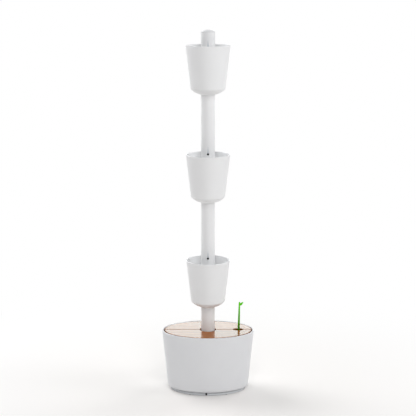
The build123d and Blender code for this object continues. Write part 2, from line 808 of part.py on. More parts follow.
# Pump cable: from the pump's back over the pump to the controller
cable_x = standpipe_x + cable_entry_offset
pump_cable_points = [
    (cable_x, pump_back, shaft_height + cable_exit_lift),
    (cable_x, cable_loop_y, shaft_height + cable_exit_lift),
    (cable_x, cable_loop_y, cable_loop_height),
    (cable_x, standpipe_y, cable_loop_height),
    (cable_x, standpipe_y, board_bottom),
]
save(round_run(pump_cable_points, [cable_bend] * 3, cable_radius), "pump_cable")

# Cable grommet: rubber ring in the case floor
with BuildPart() as cable_grommet:
    with BuildSketch(Plane.XY.offset(case_bottom - grommet_flange)):
        with Locations((cable_x, standpipe_y)):
            Circle(grommet_radius)
    extrude(amount=grommet_flange)
    with BuildSketch(Plane.XY.offset(case_bottom)):
        with Locations((cable_x, standpipe_y)):
            Circle(grommet_hole_radius - fit_gap)
    extrude(amount=case_wall)
    with BuildSketch(Plane.XY.offset(case_floor)):
        with Locations((cable_x, standpipe_y)):
            Circle(grommet_radius)
    extrude(amount=grommet_flange)
    with BuildSketch(Plane.XY.offset(case_bottom - grommet_flange)):
        with Locations((cable_x, standpipe_y)):
            Circle(cable_radius + fit_gap)
    extrude(amount=case_wall + 2 * grommet_flange, mode=Mode.SUBTRACT)
save(cable_grommet, "cable_grommet")


# Pot: tapered wall on a bowl bottom, with a hub for its column and a neck whose spigot fills the drop tube
def make_pot(bottom):
    draft = radians(pot_draft)
    start = radians(bowl_slope)
    drop_fit = drop_bore - seat_gap
    column_fit = column_bore - seat_gap
    bowl_x = column_radius - bowl_radius * sin(start)
    bowl_z = bowl_radius * cos(start)
    inner_radius = bowl_radius - pot_wall
    wall_reach = (pot_rim_radius - bowl_x) * cos(draft) - (pot_height - bowl_z) * sin(draft)
    corner = asin(wall_reach / bowl_radius) - draft
    inner_corner = asin((wall_reach - pot_wall) / inner_radius) - draft
    hub_turn = acos((bowl_z - hub_height) / inner_radius)
    inner_rim = pot_rim_radius - pot_wall / cos(draft)

    def bowl_point(radius, turn):
        return bowl_x + radius * sin(turn), bowl_z - radius * cos(turn)

    with BuildPart() as pot:
        with BuildSketch(upright(bottom)) as section:
            with BuildLine():
                Polyline(
                    (hub_bore_radius, hub_height + hub_collar_height),
                    (hub_bore_radius, -neck_height - neck_spigot),
                    (drop_fit, -neck_height - neck_spigot),
                    (drop_fit, -neck_height),
                    (column_radius, -neck_height),
                    (column_radius, 0),
                )
                ThreePointArc(
                    (column_radius, 0),
                    bowl_point(bowl_radius, (start + corner) / 2),
                    bowl_point(bowl_radius, corner),
                )
                Polyline(
                    bowl_point(bowl_radius, corner),
                    (pot_rim_radius, pot_height),
                    (inner_rim, pot_height),
                    bowl_point(inner_radius, inner_corner),
                )
                ThreePointArc(
                    bowl_point(inner_radius, inner_corner),
                    bowl_point(inner_radius, (inner_corner + hub_turn) / 2),
                    bowl_point(inner_radius, hub_turn),
                )
                Polyline(
                    bowl_point(inner_radius, hub_turn),
                    (column_fit, hub_height),
                    (column_fit, hub_height + hub_collar_height),
                    (hub_bore_radius, hub_height + hub_collar_height),
                )
            make_face()
            for point, rounding in (
                ((column_radius, 0), neck_round),
                (bowl_point(bowl_radius, corner), pot_corner_round),
                (bowl_point(inner_radius, inner_corner), pot_corner_round - pot_wall),
                ((pot_rim_radius, pot_height), pot_rim_round),
                ((inner_rim, pot_height), pot_rim_round),
            ):
                fillet(section.vertices().sort_by_distance(point)[0], rounding)
        revolve(axis=Axis.Z)
    return pot


# Column: tube from the pot's hub to its top, with drain slots, nozzle hole and groove
def make_column(bottom, drip, top):
    foot = bottom + hub_height
    slot_centre = foot + hub_collar_height + drain_slot_rise + drain_slot_height / 2
    with BuildPart() as column:
        with BuildSketch(Plane.XY.offset(foot)):
            Circle(column_radius)
            Circle(column_bore, mode=Mode.SUBTRACT)
        extrude(amount=top - foot)
        with Locations((0, 0, slot_centre)):
            with PolarLocations(column_radius - tube_wall / 2, drain_slot_count, start_angle=slot_turn):
                Box(3 * tube_wall, drain_slot_width, drain_slot_height, mode=Mode.SUBTRACT)
        with BuildSketch(upright(drip)):
            Circle(nozzle_radius + nozzle_hole_gap)
        extrude(amount=column_radius + tube_wall, mode=Mode.SUBTRACT)
        with BuildSketch(upright(drip).offset(column_radius - groove_depth)):
            with BuildLine():
                Polyline(
                    (-groove_width / 2, 0), (groove_width / 2, 0), (groove_tip / 2, groove_length),
                    (-groove_tip / 2, groove_length), close=True,
                )
            make_face()
        extrude(amount=tube_wall, mode=Mode.SUBTRACT)
    return column


# Drop tube: plain tube under a pot with holes for the connector's studs
def make_drop_tube(seam):
    with BuildPart() as tube:
        with BuildSketch(Plane.XY.offset(seam)):
            Circle(drop_radius)
            Circle(drop_bore, mode=Mode.SUBTRACT)
        extrude(amount=drop_length - neck_height)
        with Locations((0, 0, seam + stud_rise)):
            with PolarLocations(drop_radius, stud_count, start_angle=stud_turn):
                Cylinder(stud_radius + stud_hole_gap, 4 * tube_wall, rotation=radial_x, mode=Mode.SUBTRACT)
    return tube


# Connector: sleeve held in the drop tube by four studs, with the spigot below the seam
def make_connector(seam):
    plug_radius = drop_bore - seat_gap
    spigot_radius = column_bore - slip_gap
    stud_reach = drop_radius - stud_sink
    with BuildPart() as connector:
        with BuildSketch(Plane.XY.offset(seam)):
            Circle(plug_radius)
        extrude(amount=connector_plug)
        with BuildSketch(Plane.XY.offset(seam)):
            Circle(spigot_radius)
        extrude(amount=-spigot_depth)
        fillet(connector.edges().group_by(Axis.Z)[0], connector_round)
        with BuildSketch(Plane.XY.offset(seam - spigot_depth)):
            Circle(plug_radius - connector_wall)
        extrude(amount=spigot_depth + connector_plug, mode=Mode.SUBTRACT)
        stud_length = stud_reach - plug_radius + connector_wall / 2
        with Locations((0, 0, seam + stud_rise)):
            with PolarLocations(stud_reach - stud_length / 2, stud_count, start_angle=stud_turn):
                Cylinder(stud_radius, stud_length, rotation=radial_x)
    return connector


# Nozzle: drip outlet seated behind the column wall, with a tail in the tee
def make_nozzle(drip):
    flange_front = sqrt(column_bore ** 2 - nozzle_flange_radius ** 2) - slip_gap
    flange_back = flange_front - nozzle_flange
    with BuildPart() as nozzle:
        with BuildSketch(upright(drip).offset(branch_reach)):
            Circle(branch_radius)
        extrude(amount=flange_back - branch_reach)
        with BuildSketch(upright(drip).offset(flange_back)):
            Circle(nozzle_flange_radius)
        extrude(amount=nozzle_flange)
        with BuildSketch(upright(drip).offset(flange_front)):
            Circle(nozzle_radius)
        extrude(amount=column_radius + nozzle_proud - flange_front)
        fillet(nozzle.edges().group_by(Axis.Y)[0], nozzle_round)
        with BuildSketch(upright(drip).offset(branch_reach)):
            Circle(tee_bore - fit_gap)
        extrude(amount=-nozzle_tail)
        with BuildSketch(upright(drip).offset(column_radius + nozzle_proud)):
            Circle(nozzle_bore)
        extrude(amount=-column_radius, mode=Mode.SUBTRACT)
    return nozzle


# Tee: upright body with a hose barb at each end and a branch to the nozzle; the top one is an elbow
def make_tee(drip, open_top):
    barb_reach = tee_half_height + barb_length
    with BuildPart() as tee:
        with BuildSketch(Plane.XY.offset(drip - tee_half_height)):
            Circle(tee_radius)
        extrude(amount=2 * tee_half_height)
        with BuildSketch(upright(drip)):
            Circle(branch_radius)
        extrude(amount=branch_reach)
        with BuildSketch(Plane.XY.offset(drip - barb_reach)):
            Circle(barb_radius)
        extrude(amount=barb_length)
        with BuildSketch(Plane.XY.offset(drip - barb_reach)):
            Circle(tee_bore)
        extrude(amount=barb_reach, mode=Mode.SUBTRACT)
        if open_top:
            with BuildSketch(Plane.XY.offset(drip + tee_half_height)):
                Circle(barb_radius)
            extrude(amount=barb_length)
            with BuildSketch(Plane.XY.offset(drip)):
                Circle(tee_bore)
            extrude(amount=barb_reach, mode=Mode.SUBTRACT)
        with BuildSketch(upright(drip)):
            Circle(tee_bore)
        extrude(amount=branch_reach, mode=Mode.SUBTRACT)
    return tee


# Riser hose: from the pump's outlet into the socket and up the column to the first tee
pot_bottoms = [seam_height + drop_length + place * module_pitch for place in range(len(levels))]
drips = [bottom + pot_height + rise for bottom, rise in zip(pot_bottoms, drip_rises)]
riser_points = [
    (pump_x + pump_width / 2 + seat_gap, 0, outlet_height),
    (0, 0, outlet_height),
    (0, 0, drips[0] - tee_half_height - seat_gap),
]
riser_bend = column_bore - slip_gap
save(round_run(riser_points, [riser_bend], hose_radius, hose_bore), "riser_hose")

# The three stacked modules
cap_seat = pot_bottoms[-1] + pot_height + cap_rise
column_tops = [bottom + pot_height + column_rise for bottom in pot_bottoms[:-1]] + [cap_seat]
for place, level in enumerate(levels):
    bottom = pot_bottoms[place]
    seam = bottom - drop_length
    drip = drips[place]
    save(make_pot(bottom), f"pot_{level}")
    save(make_column(bottom, drip, column_tops[place]), f"column_{level}")
    save(make_drop_tube(seam), f"drop_tube_{level}")
    save(make_connector(seam), f"tube_connector_{level}")
    save(make_nozzle(drip), f"drip_nozzle_{level}")
    save(make_tee(drip, open_top=level != levels[-1]), f"drip_tee_{level}")
    if place:
        with BuildPart() as feed_hose:
            with BuildSketch(Plane.XY.offset(drips[place - 1] + tee_half_height + seat_gap)):
                Circle(hose_radius)
                Circle(hose_bore, mode=Mode.SUBTRACT)
            extrude(amount=drip - drips[place - 1] - 2 * tee_half_height - 2 * seat_gap)
        save(feed_hose, f"feed_hose_{level}")

# Top cap: shallow dome with a skirt inside the highest column
with BuildPart() as top_cap:
    with BuildSketch(upright(cap_seat)):
        with BuildLine():
            Line((0, -cap_wall), (column_bore - slip_gap - cap_wall, -cap_wall))
            Polyline(
                (column_bore - slip_gap - cap_wall, -cap_wall),
                (column_bore - slip_gap - cap_wall, -cap_skirt),
                (column_bore - slip_gap, -cap_skirt),
                (column_bore - slip_gap, 0),
                (column_radius, 0),
                (column_radius, cap_edge),
            )
            TangentArc((0, cap_edge + cap_dome), (column_radius, cap_edge), tangent=(1, 0))
            Line((0, cap_edge + cap_dome), (0, -cap_wall))
        make_face()
    revolve(axis=Axis.Z)
    cap_corner = cap_seat + cap_edge
    fillet(top_cap.edges().filter_by_position(Axis.Z, cap_corner, cap_corner), cap_round)
save(top_cap, "top_cap")
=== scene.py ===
import bpy
import bmesh
import json
from math import asin, cos, pi, radians, sin
from mathutils import Matrix, Vector


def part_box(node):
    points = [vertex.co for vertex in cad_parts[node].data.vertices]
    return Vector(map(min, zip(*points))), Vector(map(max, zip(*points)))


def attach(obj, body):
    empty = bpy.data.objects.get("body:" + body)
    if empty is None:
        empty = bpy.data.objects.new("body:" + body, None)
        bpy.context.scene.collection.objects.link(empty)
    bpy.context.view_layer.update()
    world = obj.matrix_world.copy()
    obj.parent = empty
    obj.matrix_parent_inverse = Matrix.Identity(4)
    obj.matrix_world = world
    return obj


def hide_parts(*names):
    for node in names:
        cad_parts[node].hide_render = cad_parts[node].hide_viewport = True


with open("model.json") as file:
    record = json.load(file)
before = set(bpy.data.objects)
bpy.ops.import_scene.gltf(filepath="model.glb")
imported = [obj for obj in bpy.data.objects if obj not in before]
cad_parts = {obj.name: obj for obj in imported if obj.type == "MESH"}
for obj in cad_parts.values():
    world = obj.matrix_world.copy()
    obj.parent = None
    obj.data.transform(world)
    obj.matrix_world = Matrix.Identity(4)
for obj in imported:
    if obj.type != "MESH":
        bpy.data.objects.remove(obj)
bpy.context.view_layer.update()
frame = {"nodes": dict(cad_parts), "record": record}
nodes = frame["nodes"]
scene = bpy.context.scene
print("frame:", len(nodes), "nodes")


# small helpers for node trees
def put(tree, kind, values=None, **settings):
    node = tree.nodes.new("ShaderNode" + kind)
    for key, value in settings.items():
        setattr(node, key, value)
    for key, value in (values or {}).items():
        node.inputs[key].default_value = value
    return node


def wire(tree, source, exitName, target, entryName):
    tree.links.new(source.outputs[exitName], target.inputs[entryName])


def newGroup(name, entries, exits):
    tree = bpy.data.node_groups.new(name, "ShaderNodeTree")
    for title, value in entries.items():
        socket = tree.interface.new_socket(title, in_out="INPUT", socket_type="NodeSocketFloat")
        socket.default_value = value
    for title in exits:
        tree.interface.new_socket(title, in_out="OUTPUT", socket_type="NodeSocketFloat")
    return tree, tree.nodes.new("NodeGroupInput"), tree.nodes.new("NodeGroupOutput")


# moulded skin: fine peel, broad mottle and uneven gloss, for every plastic and rubber piece
def buildMouldedSkin():
    tree, entry, leave = newGroup(
        "mouldedSkin",
        {"Peel Scale": 900.0, "Mottle Scale": 7.0, "Rough Low": 0.35, "Rough High": 0.45},
        ("Mottle", "Rough", "Peel"),
    )
    place = put(tree, "TexCoord")
    peel = put(tree, "TexNoise", {"Detail": 2.0, "Roughness": 0.45})
    wire(tree, place, "Object", peel, "Vector")
    wire(tree, entry, "Peel Scale", peel, "Scale")
    mottle = put(tree, "TexNoise", {"Detail": 5.0, "Roughness": 0.6})
    wire(tree, place, "Object", mottle, "Vector")
    wire(tree, entry, "Mottle Scale", mottle, "Scale")
    spread = put(tree, "MapRange", {"From Min": 0.3, "From Max": 0.7})
    wire(tree, mottle, "Fac", spread, "Value")
    handling = put(tree, "TexNoise", {"Scale": 38.0, "Detail": 6.0, "Roughness": 0.65})
    wire(tree, place, "Object", handling, "Vector")
    gloss = put(tree, "MapRange", {"From Min": 0.32, "From Max": 0.68})
    wire(tree, handling, "Fac", gloss, "Value")
    wire(tree, entry, "Rough Low", gloss, "To Min")
    wire(tree, entry, "Rough High", gloss, "To Max")
    wire(tree, spread, "Result", leave, "Mottle")
    wire(tree, gloss, "Result", leave, "Rough")
    wire(tree, peel, "Fac", leave, "Peel")
    return tree


# straight wood grain along X: broad bands, fibres and short dark pores
def buildWoodGrain():
    tree, entry, leave = newGroup(
        "woodGrain",
        {"Band Scale": 26.0, "Fibre Scale": 420.0, "Pore Share": 0.62},
        ("Band", "Fibre", "Pore", "Height"),
    )
    place = put(tree, "TexCoord")
    drift = put(tree, "TexNoise", {"Scale": 3.2, "Detail": 3.0})
    lazy = put(tree, "Mapping", {"Scale": (1.0, 5.0, 5.0)})
    wire(tree, place, "Object", lazy, "Vector")
    wire(tree, lazy, "Vector", drift, "Vector")
    bend = put(tree, "VectorMath", {1: (0.0, 0.05, 0.05)}, operation="MULTIPLY")
    wire(tree, drift, "Color", bend, 0)
    bent = put(tree, "VectorMath", operation="ADD")
    wire(tree, place, "Object", bent, 0)
    wire(tree, bend, 0, bent, 1)
    bandPlace = put(tree, "Mapping", {"Scale": (0.05, 1.0, 0.6), "Rotation": (0.0, 0.0, 0.012)})
    wire(tree, bent, 0, bandPlace, "Vector")
    band = put(
        tree, "TexWave", {"Distortion": 2.4, "Detail": 3.0, "Detail Scale": 1.4},
        wave_type="BANDS", bands_direction="Y", wave_profile="SAW",
    )
    wire(tree, bandPlace, "Vector", band, "Vector")
    wire(tree, entry, "Band Scale", band, "Scale")
    fibrePlace = put(tree, "Mapping", {"Scale": (0.022, 1.0, 1.0)})
    wire(tree, bent, 0, fibrePlace, "Vector")
    fibre = put(tree, "TexNoise", {"Detail": 4.0, "Roughness": 0.62})
    wire(tree, fibrePlace, "Vector", fibre, "Vector")
    wire(tree, entry, "Fibre Scale", fibre, "Scale")
    porePlace = put(tree, "Mapping", {"Scale": (0.06, 1.0, 1.0)})
    wire(tree, bent, 0, porePlace, "Vector")
    pore = put(tree, "TexNoise", {"Scale": 760.0, "Detail": 1.0})
    wire(tree, porePlace, "Vector", pore, "Vector")
    poreCut = put(tree, "Math", operation="GREATER_THAN")
    wire(tree, pore, "Fac", poreCut, 0)
    wire(tree, entry, "Pore Share", poreCut, 1)
    sunk = put(tree, "Math", {1: -0.6}, operation="MULTIPLY")
    wire(tree, poreCut, 0, sunk, 0)
    relief = put(tree, "Math", operation="ADD")
    wire(tree, fibre, "Fac", relief, 0)
    wire(tree, sunk, 0, relief, 1)
    wire(tree, band, "Fac", leave, "Band")
    wire(tree, fibre, "Fac", leave, "Fibre")
    wire(tree, poreCut, 0, leave, "Pore")
    wire(tree, relief, 0, leave, "Height")
    return tree


mouldedSkin = buildMouldedSkin()
woodGrain = buildWoodGrain()


def newMaterial(name):
    material = bpy.data.materials.new(name)
    material.use_nodes = True
    tree = material.node_tree
    shader = tree.nodes["Principled BSDF"]
    return material, tree, shader


def useGroup(tree, group, values):
    node = tree.nodes.new("ShaderNodeGroup")
    node.node_tree = group
    for key, value in values.items():
        node.inputs[key].default_value = value
    return node


def twoTone(tree, first, second):
    return put(tree, "MixRGB", {"Color1": (*first, 1), "Color2": (*second, 1)})


def addRelief(tree, source, exitName, shader, strength, depth):
    bump = put(tree, "Bump", {"Strength": strength, "Distance": depth})
    wire(tree, source, exitName, bump, "Height")
    wire(tree, bump, "Normal", shader, "Normal")


# every moulded finish: two close colours, roughness range, peel size and depth, and gloss where it is dull
peelStrength = 0.5
plainGloss = 0.5
mouldedFinishes = {
    "white_plastic": {
        "low": (0.775, 0.778, 0.785), "high": (0.80, 0.803, 0.81),
        "rough": (0.36, 0.44), "peel": (1100, 0.00003),
    },
    "tank_plastic": {
        "low": (0.71, 0.718, 0.738), "high": (0.735, 0.743, 0.763),
        "rough": (0.36, 0.44), "peel": (1100, 0.00003),
    },
    "cap_plastic": {
        "low": (0.73, 0.735, 0.745), "high": (0.755, 0.76, 0.77),
        "rough": (0.46, 0.54), "peel": (1100, 0.00003), "gloss": 0.12,
    },
    "plinth_plastic": {
        "low": (0.55, 0.572, 0.595), "high": (0.59, 0.612, 0.635),
        "rough": (0.42, 0.52), "peel": (900, 0.00004),
    },
    "float_foam": {
        "low": (0.74, 0.72, 0.66), "high": (0.84, 0.82, 0.76),
        "rough": (0.7, 0.85), "peel": (420, 0.00035),
    },
    "black_plastic": {
        "low": (0.004, 0.004, 0.0045), "high": (0.009, 0.009, 0.010),
        "rough": (0.48, 0.6), "peel": (900, 0.00005), "gloss": 0.1,
    },
    "controller_plastic": {
        "low": (0.30, 0.31, 0.33), "high": (0.36, 0.37, 0.39),
        "rough": (0.42, 0.52), "peel": (800, 0.00006),
    },
    "hose": {
        "low": (0.018, 0.018, 0.020), "high": (0.035, 0.035, 0.038),
        "rough": (0.45, 0.6), "peel": (600, 0.00006),
    },
    "cable_sheath": {
        "low": (0.014, 0.014, 0.015), "high": (0.028, 0.028, 0.030),
        "rough": (0.5, 0.62), "peel": (1200, 0.00003),
    },
    "soft_rubber": {
        "low": (0.030, 0.030, 0.031), "high": (0.055, 0.055, 0.057),
        "rough": (0.62, 0.78), "peel": (700, 0.00008),
    },
}


def mouldedMaterial(name):
    finish = mouldedFinishes[name]
    material, tree, shader = newMaterial(name)
    skin = useGroup(tree, mouldedSkin, {
        "Peel Scale": finish["peel"][0], "Rough Low": finish["rough"][0], "Rough High": finish["rough"][1],
    })
    tint = twoTone(tree, finish["low"], finish["high"])
    wire(tree, skin, "Mottle", tint, "Fac")
    wire(tree, tint, "Color", shader, "Base Color")
    wire(tree, skin, "Rough", shader, "Roughness")
    addRelief(tree, skin, "Peel", shader, peelStrength, finish["peel"][1])
    shader.inputs["Specular IOR Level"].default_value = finish.get("gloss", plainGloss)
    return material


# column plastic: the white skin with cool painted shade in the tapered groove above the nozzle, standing in
# for the groove's shadow
paintedGrooveShade = {"shade": (0.46, 0.50, 0.545), "length": 0.034, "halfFoot": 0.003}


def columnMaterial(level):
    low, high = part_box("drip_nozzle_" + level)
    foot = (low.z + high.z) / 2
    material = mouldedMaterial("white_plastic")
    material.name = "column_" + level
    tree = material.node_tree
    shader = tree.nodes["Principled BSDF"]
    skinColour = shader.inputs["Base Color"].links[0].from_socket
    place = put(tree, "TexCoord")
    split = put(tree, "SeparateXYZ")
    wire(tree, place, "Object", split, "Vector")
    halfWidth = put(
        tree, "MapRange",
        {
            "From Min": foot, "From Max": foot + paintedGrooveShade["length"],
            "To Min": paintedGrooveShade["halfFoot"], "To Max": 0.0,
        },
        clamp=False,
    )
    wire(tree, split, "Z", halfWidth, "Value")
    across = put(tree, "Math", operation="ABSOLUTE")
    wire(tree, split, "X", across, 0)
    within = put(tree, "Math", operation="LESS_THAN")
    wire(tree, across, 0, within, 0)
    wire(tree, halfWidth, "Result", within, 1)
    above = put(tree, "Math", {1: foot}, operation="GREATER_THAN")
    wire(tree, split, "Z", above, 0)
    front = put(tree, "Math", {1: 0.0}, operation="LESS_THAN")
    wire(tree, split, "Y", front, 0)
    facing = put(tree, "Math", operation="MULTIPLY")
    wire(tree, above, 0, facing, 0)
    wire(tree, front, 0, facing, 1)
    mask = put(tree, "Math", operation="MULTIPLY")
    wire(tree, within, 0, mask, 0)
    wire(tree, facing, 0, mask, 1)
    # painted shade: inside the groove mask the cool colour replaces the skin colour
    shaded = put(tree, "MixRGB", {"Color2": (*paintedGrooveShade["shade"], 1)})
    tree.links.new(skinColour, shaded.inputs["Color1"])
    wire(tree, mask, 0, shaded, "Fac")
    wire(tree, shaded, "Color", shader, "Base Color")
    return material


# varnished lid wood
lidWood = {
    "pale": (0.36, 0.122, 0.020), "deep": (0.20, 0.060, 0.008),
    "fibre": (0.17, 0.048, 0.006), "pore": (0.10, 0.024, 0.004),
    "bandScale": 13.0, "fibreScale": 520.0,
    "fibreFrom": 0.45, "fibreTo": 0.75, "fibreShare": 0.7, "poreShare": 0.55,
    "rough": (0.38, 0.56), "relief": (0.25, 0.0001), "coat": 0.3, "coatRough": 0.06, "bareGloss": 0.12,
}


def lidMaterial():
    material, tree, shader = newMaterial("lid_wood")
    scales = {"Band Scale": lidWood["bandScale"], "Fibre Scale": lidWood["fibreScale"]}
    grain = useGroup(tree, woodGrain, scales)
    bands = twoTone(tree, lidWood["pale"], lidWood["deep"])
    wire(tree, grain, "Band", bands, "Fac")
    fibreMask = put(tree, "MapRange", {
        "From Min": lidWood["fibreFrom"], "From Max": lidWood["fibreTo"], "To Max": lidWood["fibreShare"],
    })
    wire(tree, grain, "Fibre", fibreMask, "Value")
    fibres = put(tree, "MixRGB", {"Color2": (*lidWood["fibre"], 1)})
    wire(tree, bands, "Color", fibres, "Color1")
    wire(tree, fibreMask, "Result", fibres, "Fac")
    poreMask = put(tree, "Math", {1: lidWood["poreShare"]}, operation="MULTIPLY")
    wire(tree, grain, "Pore", poreMask, 0)
    pores = put(tree, "MixRGB", {"Color2": (*lidWood["pore"], 1)})
    wire(tree, fibres, "Color", pores, "Color1")
    wire(tree, poreMask, 0, pores, "Fac")
    wire(tree, pores, "Color", shader, "Base Color")
    rough = put(tree, "MapRange", {"To Min": lidWood["rough"][0], "To Max": lidWood["rough"][1]})
    wire(tree, grain, "Fibre", rough, "Value")
    wire(tree, rough, "Result", shader, "Roughness")
    addRelief(tree, grain, "Height", shader, *lidWood["relief"])
    shader.inputs["Specular IOR Level"].default_value = lidWood["bareGloss"]
    shader.inputs["Coat Weight"].default_value = lidWood["coat"]
    shader.inputs["Coat Roughness"].default_value = lidWood["coatRough"]
    return material


# sprout: dark olive foot as painted shade where the stem sinks into the lid hole, fresh green stem, bright
# leaf
sproutSkin = {
    "foot": (0.005, 0.10, 0.002), "stem": (0.09, 0.38, 0.006), "leaf": (0.13, 0.68, 0.002),
    "from": 0.25, "stemAt": 0.35, "to": 0.385, "gloss": 0.2,
    "mottle": 0.8, "mottleShare": 0.5, "relief": (0.4, 0.00004),
    "skin": {"Peel Scale": 700, "Mottle Scale": 60, "Rough Low": 0.24, "Rough High": 0.34},
}


def sproutMaterial():
    material, tree, shader = newMaterial("sprout_green")
    skin = useGroup(tree, mouldedSkin, sproutSkin["skin"])
    place = put(tree, "TexCoord")
    split = put(tree, "SeparateXYZ")
    wire(tree, place, "Object", split, "Vector")
    rise = put(tree, "MapRange", {"From Min": sproutSkin["from"], "From Max": sproutSkin["to"]})
    wire(tree, split, "Z", rise, "Value")
    # colour by height; the dark foot end is painted shade from the lid hole
    shades = put(tree, "ValToRGB")
    shades.color_ramp.elements[0].color = (*sproutSkin["foot"], 1)
    shades.color_ramp.elements[1].color = (*sproutSkin["leaf"], 1)
    middle = shades.color_ramp.elements.new(sproutSkin["stemAt"])
    middle.color = (*sproutSkin["stem"], 1)
    wire(tree, rise, "Result", shades, "Fac")
    vein = put(tree, "MixRGB", {"Fac": sproutSkin["mottleShare"]}, blend_type="MULTIPLY")
    shade = put(tree, "MapRange", {"To Min": sproutSkin["mottle"], "To Max": 1.0})
    wire(tree, skin, "Mottle", shade, "Value")
    wire(tree, shades, "Color", vein, "Color1")
    wire(tree, shade, "Result", vein, "Color2")
    wire(tree, vein, "Color", shader, "Base Color")
    wire(tree, skin, "Rough", shader, "Roughness")
    shader.inputs["Specular IOR Level"].default_value = sproutSkin["gloss"]
    addRelief(tree, skin, "Peel", shader, *sproutSkin["relief"])
    return material


# stainless screws and shaft: lathe lines round each head
steelFinish = {
    "low": (0.48, 0.48, 0.49), "high": (0.66, 0.66, 0.67),
    "stretch": 14.0, "lineScale": 260.0, "rough": (0.22, 0.42), "relief": (0.3, 0.00004),
}


def steelMaterial():
    material, tree, shader = newMaterial("steel")
    place = put(tree, "TexCoord")
    stretch = put(tree, "Mapping", {"Scale": (1.0, 1.0, steelFinish["stretch"])})
    wire(tree, place, "Object", stretch, "Vector")
    lines = put(tree, "TexNoise", {"Scale": steelFinish["lineScale"], "Detail": 4.0, "Roughness": 0.7})
    wire(tree, stretch, "Vector", lines, "Vector")
    tint = twoTone(tree, steelFinish["low"], steelFinish["high"])
    wire(tree, lines, "Fac", tint, "Fac")
    wire(tree, tint, "Color", shader, "Base Color")
    rough = put(tree, "MapRange", {"To Min": steelFinish["rough"][0], "To Max": steelFinish["rough"][1]})
    wire(tree, lines, "Fac", rough, "Value")
    wire(tree, rough, "Result", shader, "Roughness")
    addRelief(tree, lines, "Fac", shader, *steelFinish["relief"])
    shader.inputs["Metallic"].default_value = 1.0
    return material


# circuit board: green lacquer with copper tracks under it
boardFinish = {
    "lacquer": (0.012, 0.11, 0.035), "track": (0.03, 0.21, 0.07),
    "trackScale": 190.0, "trackEdge": 0.42, "rough": (0.3, 0.42), "relief": (0.4, 0.0001),
}


def boardMaterial():
    material, tree, shader = newMaterial("board")
    place = put(tree, "TexCoord")
    cells = put(
        tree, "TexVoronoi", {"Scale": boardFinish["trackScale"]}, distance="MANHATTAN", feature="F1",
    )
    wire(tree, place, "Object", cells, "Vector")
    band = put(tree, "Math", {1: boardFinish["trackEdge"]}, operation="GREATER_THAN")
    wire(tree, cells, "Distance", band, 0)
    tint = twoTone(tree, boardFinish["lacquer"], boardFinish["track"])
    wire(tree, band, 0, tint, "Fac")
    wire(tree, tint, "Color", shader, "Base Color")
    rough = put(tree, "MapRange", {"To Min": boardFinish["rough"][0], "To Max": boardFinish["rough"][1]})
    wire(tree, band, 0, rough, "Value")
    wire(tree, rough, "Result", shader, "Roughness")
    addRelief(tree, band, 0, shader, *boardFinish["relief"])
    return material


finishes = {name: mouldedMaterial(name) for name in mouldedFinishes}
finishes["lid_wood"] = lidMaterial()
finishes["sprout_green"] = sproutMaterial()
finishes["steel"] = steelMaterial()
finishes["board"] = boardMaterial()
ownFinish = {"tank_shell": "tank_plastic", "top_cap": "cap_plastic"}
for level in ("lower", "middle", "upper"):
    ownFinish["column_" + level] = "column_" + level
    finishes["column_" + level] = columnMaterial(level)
for row in frame["record"]["subparts"]:
    piece = nodes[row["node"]]
    piece.data.materials.clear()
    piece.data.materials.append(finishes[ownFinish.get(row["node"], row["material_slot"])])
print("finishes:", len(finishes))

# points closer than this become one
mergeGap = 0.000005


def finishPiece(name, bm, body, slot, *stoodFor):
    bmesh.ops.remove_doubles(bm, verts=bm.verts, dist=mergeGap)
    bmesh.ops.recalc_face_normals(bm, faces=bm.faces)
    mesh = bpy.data.meshes.new(name)
    bm.to_mesh(mesh)
    bm.free()
    mesh.shade_smooth()
    mesh.materials.append(finishes[slot])
    piece = bpy.data.objects.new(name, mesh)
    scene.collection.objects.link(piece)
    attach(piece, body)
    if stoodFor:
        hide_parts(*stoodFor)
    return piece


# lid boards: oval halves with a notch for the tube and half of the fill hole
lidBoards = {
    "split": 0.0018, "notch": 0.035, "holeX": 0.132, "holeLong": 0.0243, "holeWide": 0.015,
    "softEdge": 0.0035, "softSteps": 3, "sharpAngle": 40.0, "rimSteps": 96, "notchSteps": 40, "holeSteps": 32,
}


def arcChain(bm, halfLong, halfWide, centreX, side, steps):
    before = len(bm.verts)
    turn = asin(lidBoards["split"] / halfWide)
    start = bm.verts.new((cos(turn), side * sin(turn), 0))
    spun = bmesh.ops.spin(
        bm, geom=[start], cent=(0, 0, 0), axis=(0, 0, side), angle=pi - 2 * turn, steps=steps,
        use_duplicate=False,
    )
    bm.verts.ensure_lookup_table()
    chain = bm.verts[before:]
    bmesh.ops.scale(bm, vec=(halfLong, halfWide, 1), verts=chain)
    bmesh.ops.translate(bm, vec=(centreX, 0, 0), verts=chain)
    return start, spun["geom_last"][0]


